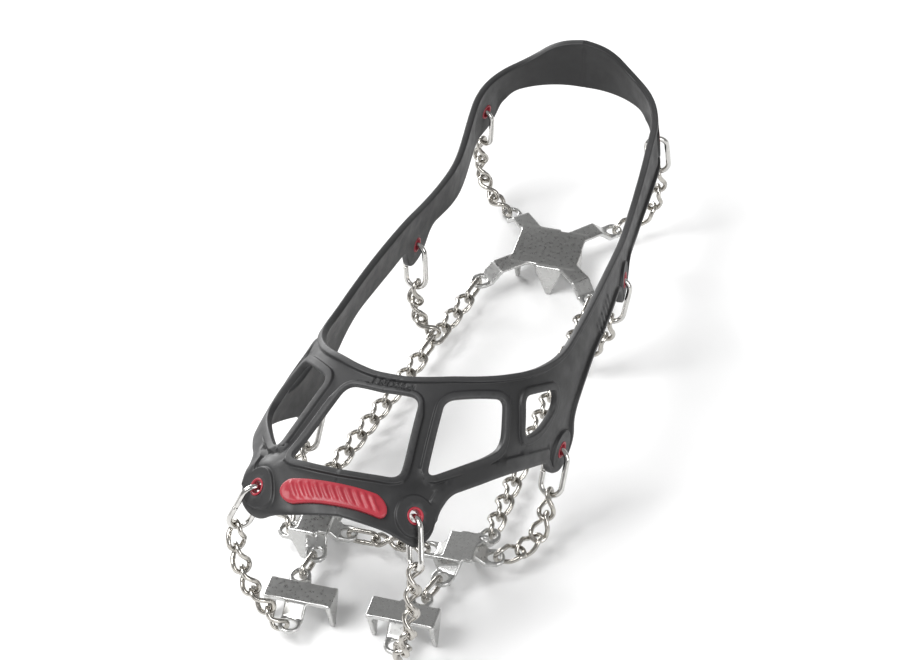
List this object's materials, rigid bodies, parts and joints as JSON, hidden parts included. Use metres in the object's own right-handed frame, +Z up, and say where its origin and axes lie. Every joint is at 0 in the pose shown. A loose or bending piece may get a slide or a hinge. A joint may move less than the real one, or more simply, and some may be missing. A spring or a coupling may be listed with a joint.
{
  "type": "shoe ice cleats",
  "caption": "Slip-on ice cleats for a left shoe: an elastomer harness with eyelet rings that hold a steel chain net and spiked plates under the sole.",
  "frame": {"origin": "under the middle of the shoe, on the plane where the sole bears on the plates", "axes": "+Z up, -Y towards the toe, +X towards the outer side of the left foot"},
  "size_m": [0.115, 0.3083, 0.0922],
  "materials": {
    "harness_elastomer": "satin moulded elastomer",
    "label_red": "satin raised label",
    "eyelet_red": "satin moulded insert",
    "ring_steel": "polished stainless wire",
    "chain_steel": "tumbled bright steel",
    "spike_steel": "stamped stainless sheet"
  },
  "bodies": {
    "harness_body": {"harness": "harness_elastomer", "label": "label_red", "eyelet_toe_right": "eyelet_red", "eyelet_toe_left": "eyelet_red", "eyelet_ball_right": "eyelet_red", "eyelet_ball_left": "eyelet_red", "eyelet_rear_right": "eyelet_red", "eyelet_rear_left": "eyelet_red", "eyelet_arch_right": "eyelet_red", "eyelet_arch_left": "eyelet_red"},
    "ring_toe_right": {"ring_toe_right": "ring_steel"},
    "link_toe_right_1": {"link_toe_right_1": "chain_steel"},
    "link_toe_right_2": {"link_toe_right_2": "chain_steel"},
    "link_toe_right_3": {"link_toe_right_3": "chain_steel"},
    "link_toe_right_4": {"link_toe_right_4": "chain_steel"},
    "link_toe_right_5": {"link_toe_right_5": "chain_steel"},
    "ring_toe_left": {"ring_toe_left": "ring_steel"},
    "link_toe_left_1": {"link_toe_left_1": "chain_steel"},
    "link_toe_left_2": {"link_toe_left_2": "chain_steel"},
    "link_toe_left_3": {"link_toe_left_3": "chain_steel"},
    "link_toe_left_4": {"link_toe_left_4": "chain_steel"},
    "link_toe_left_5": {"link_toe_left_5": "chain_steel"},
    "ring_ball_right": {"ring_ball_right": "ring_steel"},
    "link_ball_right_1": {"link_ball_right_1": "chain_steel"},
    "link_ball_right_2": {"link_ball_right_2": "chain_steel"},
    "link_ball_right_3": {"link_ball_right_3": "chain_steel"},
    "link_ball_right_4": {"link_ball_right_4": "chain_steel"},
    "ring_ball_left": {"ring_ball_left": "ring_steel"},
    "link_ball_left_1": {"link_ball_left_1": "chain_steel"},
    "link_ball_left_2": {"link_ball_left_2": "chain_steel"},
    "link_ball_left_3": {"link_ball_left_3": "chain_steel"},
    "link_ball_left_4": {"link_ball_left_4": "chain_steel"},
    "ring_rear_right": {"ring_rear_right": "ring_steel"},
    "link_rear_right_1": {"link_rear_right_1": "chain_steel"},
    "link_rear_right_2": {"link_rear_right_2": "chain_steel"},
    "link_rear_right_3": {"link_rear_right_3": "chain_steel"},
    "link_rear_right_4": {"link_rear_right_4": "chain_steel"},
    "ring_rear_left": {"ring_rear_left": "ring_steel"},
    "link_rear_left_1": {"link_rear_left_1": "chain_steel"},
    "link_rear_left_2": {"link_rear_left_2": "chain_steel"},
    "link_rear_left_3": {"link_rear_left_3": "chain_steel"},
    "link_rear_left_4": {"link_rear_left_4": "chain_steel"},
    "long_chain_right": {"long_chain_right": "chain_steel"},
    "ring_arch_right": {"ring_arch_right": "ring_steel"},
    "link_arch_right_1": {"link_arch_right_1": "chain_steel"},
    "link_arch_right_2": {"link_arch_right_2": "chain_steel"},
    "link_arch_right_3": {"link_arch_right_3": "chain_steel"},
    "long_chain_left": {"long_chain_left": "chain_steel"},
    "ring_arch_left": {"ring_arch_left": "ring_steel"},
    "link_arch_left_1": {"link_arch_left_1": "chain_steel"},
    "link_arch_left_2": {"link_arch_left_2": "chain_steel"},
    "link_arch_left_3": {"link_arch_left_3": "chain_steel"},
    "link_forefoot_right": {"link_forefoot_right": "chain_steel"},
    "link_forefoot_left": {"link_forefoot_left": "chain_steel"},
    "cross_chain": {"cross_chain": "chain_steel"},
    "plate_toe_right": {"plate_toe_right": "spike_steel"},
    "plate_toe_left": {"plate_toe_left": "spike_steel"},
    "plate_ball_right": {"plate_ball_right": "spike_steel"},
    "plate_ball_left": {"plate_ball_left": "spike_steel"},
    "plate_heel": {"plate_heel": "spike_steel"}
  },
  "joints": [
    {"name": "ring_toe_right_turn", "type": "hinge", "parent": "harness_body", "child": "ring_toe_right", "pos_m": [0.01135, -0.13289, 0.04477], "axis": [0.1979, -0.6039, -0.7721], "range_deg": [-14.5, 2.5]},
    {"name": "link_toe_right_1_turn", "type": "hinge", "parent": "harness_body", "child": "link_toe_right_1", "pos_m": [0.01277, -0.13924, 0.03345], "axis": [-0.0549, -0.2454, -0.9679], "range_deg": [-2, 13]},
    {"name": "link_toe_right_2_turn", "type": "hinge", "parent": "harness_body", "child": "link_toe_right_2", "pos_m": [0.01256, -0.14165, 0.02402], "axis": [0.0107, -0.2492, -0.9684], "range_deg": [-14.5, 14.5]},
    {"name": "link_toe_right_3_turn", "type": "hinge", "parent": "harness_body", "child": "link_toe_right_3", "pos_m": [0.01236, -0.14418, 0.01462], "axis": [-0.0514, -0.2699, -0.9615], "range_deg": [-14.5, 14.5]},
    {"name": "link_toe_right_4_turn", "type": "hinge", "parent": "harness_body", "child": "link_toe_right_4", "pos_m": [0.01099, -0.14555, 0.00523], "axis": [-0.2302, -0.0105, -0.9731], "range_deg": [-14.5, 7.5]},
    {"name": "link_toe_right_5_turn", "type": "hinge", "parent": "harness_body", "child": "link_toe_right_5", "pos_m": [0.0079, -0.14301, -0.00302], "axis": [-0.4121, 0.5374, -0.7358], "range_deg": [-8.5, 14.5]},
    {"name": "ring_toe_left_turn", "type": "hinge", "parent": "harness_body", "child": "ring_toe_left", "pos_m": [-0.05359, -0.12995, 0.04381], "axis": [-0.4024, -0.2898, -0.8684], "range_deg": [-14, 2]},
    {"name": "link_toe_left_1_turn", "type": "hinge", "parent": "harness_body", "child": "link_toe_left_1", "pos_m": [-0.05701, -0.13348, 0.03164], "axis": [0.0049, -0.2159, -0.9764], "range_deg": [-2, 14.5]},
    {"name": "link_toe_left_2_turn", "type": "hinge", "parent": "harness_body", "child": "link_toe_left_2", "pos_m": [-0.05557, -0.13572, 0.02239], "axis": [0.2905, -0.2444, -0.9251], "range_deg": [-14.5, 14.5]},
    {"name": "link_toe_left_3_turn", "type": "hinge", "parent": "harness_body", "child": "link_toe_left_3", "pos_m": [-0.05208, -0.13789, 0.0136], "axis": [0.4264, -0.2021, -0.8817], "range_deg": [-14.5, 14.5]},
    {"name": "link_toe_left_4_turn", "type": "hinge", "parent": "harness_body", "child": "link_toe_left_4", "pos_m": [-0.04695, -0.13919, 0.00554], "axis": [0.6282, -0.0651, -0.7753], "range_deg": [-14.5, 14]},
    {"name": "link_toe_left_5_turn", "type": "hinge", "parent": "harness_body", "child": "link_toe_left_5", "pos_m": [-0.04168, -0.13922, -0.00254], "axis": [0.4574, 0.0583, -0.8873], "range_deg": [-14.5, 14.5]},
    {"name": "ring_ball_right_turn", "type": "hinge", "parent": "harness_body", "child": "ring_ball_right", "pos_m": [0.04388, -0.05335, 0.01468], "axis": [-0.0693, -0.422, -0.904], "range_deg": [-14.5, 14.5]},
    {"name": "link_ball_right_1_turn", "type": "hinge", "parent": "harness_body", "child": "link_ball_right_1", "pos_m": [0.04327, -0.06008, 0.0036], "axis": [-0.0051, -0.6809, -0.7324], "range_deg": [-14.5, 12.5]},
    {"name": "link_ball_right_2_turn", "type": "hinge", "parent": "harness_body", "child": "link_ball_right_2", "pos_m": [0.04248, -0.06686, -0.00234], "axis": [-0.1672, -0.8047, -0.5697], "range_deg": [-12.5, 0]},
    {"name": "link_ball_right_3_turn", "type": "hinge", "parent": "harness_body", "child": "link_ball_right_3", "pos_m": [0.03941, -0.07428, -0.00568], "axis": [-0.517, -0.8397, -0.1662], "range_deg": [0, 9]},
    {"name": "link_ball_right_4_turn", "type": "hinge", "parent": "harness_body", "child": "link_ball_right_4", "pos_m": [0.03354, -0.08088, -0.0059], "axis": [-0.7758, -0.6205, 0.1143], "range_deg": [-10, 14.5]},
    {"name": "ring_ball_left_turn", "type": "hinge", "parent": "harness_body", "child": "ring_ball_left", "pos_m": [-0.05444, -0.05306, 0.01485], "axis": [-0.1068, -0.4502, -0.8865], "range_deg": [-14.5, 14.5]},
    {"name": "link_ball_left_1_turn", "type": "hinge", "parent": "harness_body", "child": "link_ball_left_1", "pos_m": [-0.05622, -0.06035, 0.00422], "axis": [-0.1856, -0.7346, -0.6526], "range_deg": [-13.5, 14.5]},
    {"name": "link_ball_left_2_turn", "type": "hinge", "parent": "harness_body", "child": "link_ball_left_2", "pos_m": [-0.05757, -0.06785, -0.00112], "axis": [-0.1023, -0.8674, -0.487], "range_deg": [-8.5, 14]},
    {"name": "link_ball_left_3_turn", "type": "hinge", "parent": "harness_body", "child": "link_ball_left_3", "pos_m": [-0.0574, -0.07635, -0.00461], "axis": [0.1399, -0.9548, -0.2621], "range_deg": [-5.5, 8.5]},
    {"name": "link_ball_left_4_turn", "type": "hinge", "parent": "harness_body", "child": "link_ball_left_4", "pos_m": [-0.0548, -0.08502, -0.0056], "axis": [0.4164, -0.9079, 0.0489], "range_deg": [-14.5, 5.5]},
    {"name": "ring_rear_right_turn", "type": "hinge", "parent": "harness_body", "child": "ring_rear_right", "pos_m": [0.04353, 0.13031, 0.03093], "axis": [0.076, 0.1251, -0.9892], "range_deg": [-14.5, 14.5]},
    {"name": "link_rear_right_1_turn", "type": "hinge", "parent": "harness_body", "child": "link_rear_right_1", "pos_m": [0.04432, 0.13085, 0.01767], "axis": [0.0289, -0.109, -0.9936], "range_deg": [-14.5, 14.5]},
    {"name": "link_rear_right_2_turn", "type": "hinge", "parent": "harness_body", "child": "link_rear_right_2", "pos_m": [0.04354, 0.12969, 0.00815], "axis": [-0.1897, -0.1307, -0.9731], "range_deg": [-14.5, 13.5]},
    {"name": "link_rear_right_3_turn", "type": "hinge", "parent": "harness_body", "child": "link_rear_right_3", "pos_m": [0.03979, 0.1271, 0.00025], "axis": [-0.6032, -0.4166, -0.6801], "range_deg": [-10.5, 14.5]},
    {"name": "link_rear_right_4_turn", "type": "hinge", "parent": "harness_body", "child": "link_rear_right_4", "pos_m": [0.03309, 0.12264, -0.00451], "axis": [-0.7942, -0.5158, -0.3212], "range_deg": [-14.5, 14]},
    {"name": "ring_rear_left_turn", "type": "hinge", "parent": "harness_body", "child": "ring_rear_left", "pos_m": [-0.03353, 0.13031, 0.03093], "axis": [-0.076, 0.1251, -0.9892], "range_deg": [-14.5, 14.5]},
    {"name": "link_rear_left_1_turn", "type": "hinge", "parent": "harness_body", "child": "link_rear_left_1", "pos_m": [-0.03432, 0.13085, 0.01767], "axis": [-0.0289, -0.109, -0.9936], "range_deg": [-14.5, 14.5]},
    {"name": "link_rear_left_2_turn", "type": "hinge", "parent": "harness_body", "child": "link_rear_left_2", "pos_m": [-0.03354, 0.12969, 0.00815], "axis": [0.1897, -0.1307, -0.9731], "range_deg": [-14.5, 14.5]},
    {"name": "link_rear_left_3_turn", "type": "hinge", "parent": "harness_body", "child": "link_rear_left_3", "pos_m": [-0.02978, 0.1271, 0.00025], "axis": [0.6032, -0.4166, -0.6801], "range_deg": [-14.5, 12.5]},
    {"name": "link_rear_left_4_turn", "type": "hinge", "parent": "harness_body", "child": "link_rear_left_4", "pos_m": [-0.02309, 0.12264, -0.00451], "axis": [0.7942, -0.5158, -0.3212], "range_deg": [-14.5, 14]},
    {"name": "long_chain_right_turn", "type": "hinge", "parent": "harness_body", "child": "long_chain_right", "pos_m": [0.0265, -0.001, -0.0055], "axis": [0.0342, 0.9994, 0], "range_deg": [-7.5, 0]},
    {"name": "ring_arch_right_turn", "type": "hinge", "parent": "harness_body", "child": "ring_arch_right", "pos_m": [0.04656, 0.03969, 0.02518], "axis": [-0.1425, -0.2522, -0.9571], "range_deg": [-14.5, 14.5]},
    {"name": "link_arch_right_1_turn", "type": "hinge", "parent": "harness_body", "child": "link_arch_right_1", "pos_m": [0.04426, 0.03695, 0.01231], "axis": [-0.2228, -0.121, -0.9673], "range_deg": [-14.5, 14.5]},
    {"name": "link_arch_right_2_turn", "type": "hinge", "parent": "harness_body", "child": "link_arch_right_2", "pos_m": [0.04036, 0.03533, 0.00383], "axis": [-0.5835, -0.2125, -0.7838], "range_deg": [-14.5, 14.5]},
    {"name": "link_arch_right_3_turn", "type": "hinge", "parent": "harness_body", "child": "link_arch_right_3", "pos_m": [0.03356, 0.03454, -0.00273], "axis": [-0.8201, 0.0486, -0.5702], "range_deg": [-14.5, 12.5]},
    {"name": "long_chain_left_turn", "type": "hinge", "parent": "harness_body", "child": "long_chain_left", "pos_m": [-0.0345, -0.001, -0.0055], "axis": [0.2077, 0.9782, 0], "range_deg": [-2.5, 7.5]},
    {"name": "ring_arch_left_turn", "type": "hinge", "parent": "harness_body", "child": "ring_arch_left", "pos_m": [-0.03797, 0.03975, 0.02514], "axis": [0.1065, -0.2533, -0.9615], "range_deg": [-14.5, 14.5]},
    {"name": "link_arch_left_1_turn", "type": "hinge", "parent": "harness_body", "child": "link_arch_left_1", "pos_m": [-0.0373, 0.03731, 0.01261], "axis": [-0.056, -0.0633, -0.9964], "range_deg": [-14.5, 14.5]},
    {"name": "link_arch_left_2_turn", "type": "hinge", "parent": "harness_body", "child": "link_arch_left_2", "pos_m": [-0.03631, 0.03625, 0.00427], "axis": [0.2864, -0.183, -0.9405], "range_deg": [-14.5, 14.5]},
    {"name": "link_arch_left_3_turn", "type": "hinge", "parent": "harness_body", "child": "link_arch_left_3", "pos_m": [-0.03191, 0.03513, -0.00264], "axis": [0.7391, -0.0788, -0.669], "range_deg": [-13, 14.5]},
    {"name": "link_forefoot_right_turn", "type": "hinge", "parent": "harness_body", "child": "link_forefoot_right", "pos_m": [0.01, -0.107, -0.0055], "axis": [0.2941, 0.9558, 0], "range_deg": [-14.5, 14.5]},
    {"name": "link_forefoot_left_turn", "type": "hinge", "parent": "harness_body", "child": "link_forefoot_left", "pos_m": [-0.0391, -0.107, -0.0055], "axis": [0.1669, 0.986, 0], "range_deg": [-14.5, 14.5]},
    {"name": "cross_chain_turn", "type": "hinge", "parent": "harness_body", "child": "cross_chain", "pos_m": [-0.013, -0.087, -0.0055], "axis": [-1, 0, 0], "range_deg": [-7.5, 7.5]},
    {"name": "plate_toe_right_turn", "type": "hinge", "parent": "harness_body", "child": "plate_toe_right", "pos_m": [0.00625, -0.126, -0.0055], "axis": [0.1387, 0.9903, 0], "range_deg": [-2.5, 2.5]},
    {"name": "plate_toe_left_turn", "type": "hinge", "parent": "harness_body", "child": "plate_toe_left", "pos_m": [-0.03845, -0.126, -0.0055], "axis": [-0.1387, 0.9903, 0], "range_deg": [-2.5, 2.5]},
    {"name": "plate_ball_right_turn", "type": "hinge", "parent": "harness_body", "child": "plate_ball_right", "pos_m": [0.018, -0.08725, -0.0055], "axis": [0.4125, 0.911, 0], "range_deg": [-2, 2]},
    {"name": "plate_ball_left_turn", "type": "hinge", "parent": "harness_body", "child": "plate_ball_left", "pos_m": [-0.044, -0.08725, -0.0055], "axis": [-0.4125, 0.911, 0], "range_deg": [-2, 2]},
    {"name": "plate_heel_turn", "type": "hinge", "parent": "harness_body", "child": "plate_heel", "pos_m": [0.0055, 0.095, -0.0055], "axis": [1, 0, 0], "range_deg": [-1.5, 0]}
  ]
}
